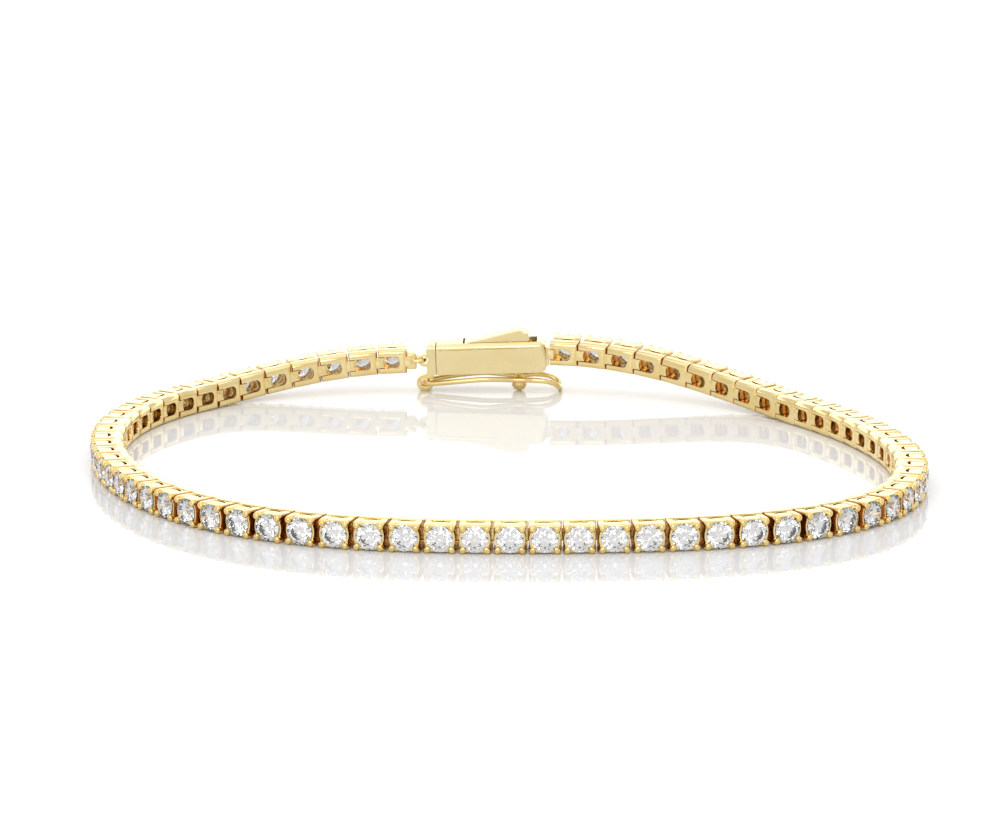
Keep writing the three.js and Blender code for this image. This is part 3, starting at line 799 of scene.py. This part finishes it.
# A shape less its cutters, whose faces have to point outwards
def carved(shape, cutters):
    def helper(vertices, faces):
        mesh = bpy.data.meshes.new("helper")
        mesh.from_pydata(vertices.tolist(), [], faces)
        mesh.update()
        made = bpy.data.objects.new("helper", mesh)
        bpy.context.scene.collection.objects.link(made)
        return made

    body = helper(*shape)
    tools = [helper(*cutter) for cutter in cutters]
    for tool in tools:
        cut = body.modifiers.new("cut", "BOOLEAN")
        cut.operation = "DIFFERENCE"
        cut.solver = "EXACT"
        cut.object = tool
    bpy.context.view_layer.update()
    result = body.evaluated_get(bpy.context.evaluated_depsgraph_get()).to_mesh()
    out = (np.array([v.co[:] for v in result.vertices]), [tuple(p.vertices) for p in result.polygons])
    for made in [body] + tools:
        mesh = made.data
        bpy.data.objects.remove(made)
        bpy.data.meshes.remove(mesh)
    return out


# Materials

def new_material(name):
    material = bpy.data.materials.new(name)
    material.use_nodes = True
    nodes = material.node_tree.nodes
    return material, nodes, material.node_tree.links, nodes["Principled BSDF"]


# Gold: light and deep tones in soft patches, and fine marks in the polish
def gold(name, light, deep, rough_low, rough_high, grain, bump):
    material, nodes, links, shader = new_material(name)
    shader.inputs["Metallic"].default_value = 1.0
    place = nodes.new("ShaderNodeTexCoord")
    patches = nodes.new("ShaderNodeTexNoise")
    patches.inputs["Scale"].default_value = 420
    patches.inputs["Detail"].default_value = 2
    links.new(place.outputs["Object"], patches.inputs["Vector"])
    tones = nodes.new("ShaderNodeValToRGB")
    tones.color_ramp.elements[0].position = 0.35
    tones.color_ramp.elements[0].color = (*deep, 1)
    tones.color_ramp.elements[1].position = 0.65
    tones.color_ramp.elements[1].color = (*light, 1)
    links.new(patches.outputs["Fac"], tones.inputs["Fac"])
    links.new(tones.outputs["Color"], shader.inputs["Base Color"])
    marks = nodes.new("ShaderNodeTexNoise")
    marks.inputs["Scale"].default_value = grain
    marks.inputs["Detail"].default_value = 4
    links.new(place.outputs["Object"], marks.inputs["Vector"])
    spread = nodes.new("ShaderNodeMapRange")
    spread.inputs["From Min"].default_value = 0.3
    spread.inputs["From Max"].default_value = 0.7
    spread.inputs["To Min"].default_value = rough_low
    spread.inputs["To Max"].default_value = rough_high
    links.new(marks.outputs["Fac"], spread.inputs["Value"])
    links.new(spread.outputs["Result"], shader.inputs["Roughness"])
    if bump:
        relief = nodes.new("ShaderNodeBump")
        relief.inputs["Strength"].default_value = bump
        relief.inputs["Distance"].default_value = 0.00002
        links.new(marks.outputs["Fac"], relief.inputs["Height"])
        links.new(relief.outputs["Normal"], shader.inputs["Normal"])
    return material


def diamond():
    material, nodes, links, shader = new_material("diamond_clear")
    shader.inputs["Transmission Weight"].default_value = 1.0
    shader.inputs["Roughness"].default_value = 0.0
    shader.inputs["IOR"].default_value = 2.417
    place = nodes.new("ShaderNodeTexCoord")
    patches = nodes.new("ShaderNodeTexNoise")
    patches.inputs["Scale"].default_value = 300
    links.new(place.outputs["Object"], patches.inputs["Vector"])
    tints = nodes.new("ShaderNodeValToRGB")
    tints.color_ramp.elements[0].position = 0.4
    tints.color_ramp.elements[0].color = (0.985, 0.99, 1.0, 1)
    tints.color_ramp.elements[1].position = 0.6
    tints.color_ramp.elements[1].color = (1.0, 0.995, 0.98, 1)
    links.new(patches.outputs["Fac"], tints.inputs["Fac"])
    links.new(tints.outputs["Color"], shader.inputs["Base Color"])
    return material


# Name, light tone, deep tone, least and most roughness, grain of the marks, strength of the relief
GOLD = gold("gold_polished", (0.94, 0.77, 0.40), (0.89, 0.69, 0.31), 0.13, 0.24, 2600, 0.12)
SATIN = gold("gold_satin", (0.90, 0.76, 0.43), (0.87, 0.72, 0.38), 0.26, 0.36, 1500, 0)
WIRE = gold("gold_wire", (0.93, 0.75, 0.37), (0.89, 0.68, 0.29), 0.16, 0.26, 2600, 0.12)
# Darker gold for the links' inner faces: painted shade in the recesses, not a different metal
GOLD_PAINTED_RECESS_SHADE = gold("gold_painted_recess_shade", (0.92, 0.67, 0.31), (0.85, 0.57, 0.23), 0.14, 0.26, 2600, 0.08)
# Deeper, more saturated gold on the beads: painted shade and painted dark reflection, not a different
# metal
GOLD_BEAD_PAINTED_SHADE = gold("gold_bead_painted_shade", (0.94, 0.73, 0.33), (0.89, 0.64, 0.25), 0.11, 0.20, 2600, 0.08)
# Dark red-brown gold on the end walls facing the next link: painted shade in the gaps between links
SHADE = gold("gold_painted_gap_shade", (0.74, 0.46, 0.19), (0.66, 0.37, 0.13), 0.18, 0.30, 2600, 0.08)
DIAMOND = diamond()

# Pieces

one_setting, one_stone = setting(), brilliant()
kinds = face_materials(one_setting)
halves = [("right", LINK_FRAMES[:HALF], "links_right"), ("left", LINK_FRAMES[HALF:], "links_left")]
for side, links_of, node in halves:
    shapes = [placed(one_setting, matrix) for matrix in links_of]
    if side == "left":
        shapes += [placed(end_ring(), CLASP), placed(end_block(), LINK_FRAMES[-1])]
    settings = piece("settings_" + side, joined(shapes), GOLD, 40)
    for material in (GOLD_PAINTED_RECESS_SHADE, GOLD_BEAD_PAINTED_SHADE, SHADE):
        settings.data.materials.append(material)
    # Inner faces take the painted recess shade, faces across the gaps the painted gap shade, and beads
    # the painted bead shade
    for polygon in settings.data.polygons:
        if polygon.index < HALF * len(kinds):
            polygon.material_index = kinds[polygon.index % len(kinds)]
    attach(settings, "bracelet")
    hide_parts(node)
    stones = piece("stones_" + side, joined([placed(one_stone, matrix) for matrix in links_of]), DIAMOND)
    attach(stones, "bracelet")

clasp_parts = [
    ("clasp_case", box(), SATIN),
    ("latch_hook", hook(), WIRE),
    ("catch_stud", stud(), WIRE),
]
for name, shape, material in clasp_parts:
    made = piece(name, shape, material, 35, CLASP)
    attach(made, "bracelet")
    if name == "clasp_case":
        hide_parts("clasp_box")

tongue_piece = piece("tongue_leaf", tongue(), GOLD, 35)
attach(tongue_piece, "bracelet")
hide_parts("clasp_tongue")

lever_piece = piece("lever_press", lever(), SATIN, 35, CLASP)
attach(lever_piece, "lever")
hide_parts("thumb_lever")

latch_piece = piece("latch_loop", latch(), WIRE, 35, CLASP)
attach(latch_piece, "latch")
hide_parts("safety_latch")

# Floor

floor_mesh = bpy.data.meshes.new("floor")
FLOOR_REACH = 2
floor_corners = [(x * FLOOR_REACH, y * FLOOR_REACH, 0) for x, y in ((-1, -1), (1, -1), (1, 1), (-1, 1))]
floor_mesh.from_pydata(floor_corners, [], [(0, 1, 2, 3)])
floor_material, _, _, floor_shader = new_material("floor_white")
floor_shader.inputs["Base Color"].default_value = (0.88, 0.88, 0.88, 1)
floor_shader.inputs["Roughness"].default_value = 0.03
floor_shader.inputs["Specular IOR Level"].default_value = 0.12
floor_mesh.materials.append(floor_material)
floor = bpy.data.objects.new("floor", floor_mesh)
bpy.context.scene.collection.objects.link(floor)

# Light and camera

def area_light(name, place, target, size, power):
    data = bpy.data.lights.new(name, "AREA")
    data.shape = "RECTANGLE"
    data.size, data.size_y = size
    data.energy = power
    made = bpy.data.objects.new(name, data)
    made.location = place
    made.rotation_euler = (Vector(target) - Vector(place)).to_track_quat("-Z", "Y").to_euler()
    bpy.context.scene.collection.objects.link(made)


area_light("overhead", (0.0, 0.0, 0.7), (0, 0, 0), (0.9, 0.7), 0.95)
area_light("back_panel", (0.0, 0.9, 0.28), (0, 0, 0.1), (4.0, 0.55), 6.4)
area_light("front", (-0.15, -0.8, 0.45), (0, 0, 0), (0.7, 0.35), 1.7)

world = bpy.data.worlds.new("studio")
world.use_nodes = True
world.node_tree.nodes["Background"].inputs["Color"].default_value = (1, 1, 1, 1)
world.node_tree.nodes["Background"].inputs["Strength"].default_value = 0.8
bpy.context.scene.world = world

bpy.context.scene.view_settings.view_transform = "Standard"

CAMERA_ELEVATION = 12.3
CAMERA_DISTANCE = 362
CAMERA_TARGET = Vector((-0.3, 18.5, 0))
FOCAL_PIXELS = 4560
FRAME_PIXELS = 1000
SENSOR_WIDTH = 36
camera_data = bpy.data.cameras.new("camera")
camera_data.sensor_fit = "HORIZONTAL"
camera_data.sensor_width = SENSOR_WIDTH
camera_data.lens = FOCAL_PIXELS * SENSOR_WIDTH / FRAME_PIXELS
camera_data.clip_start = 0.01
camera = bpy.data.objects.new("camera", camera_data)
elevation = CAMERA_ELEVATION * DEG
offset = Vector((0, -math.cos(elevation), math.sin(elevation))) * CAMERA_DISTANCE
camera.location = (CAMERA_TARGET + offset) * MM
camera.rotation_euler = (-offset).to_track_quat("-Z", "Y").to_euler()
bpy.context.scene.collection.objects.link(camera)
bpy.context.scene.camera = camera
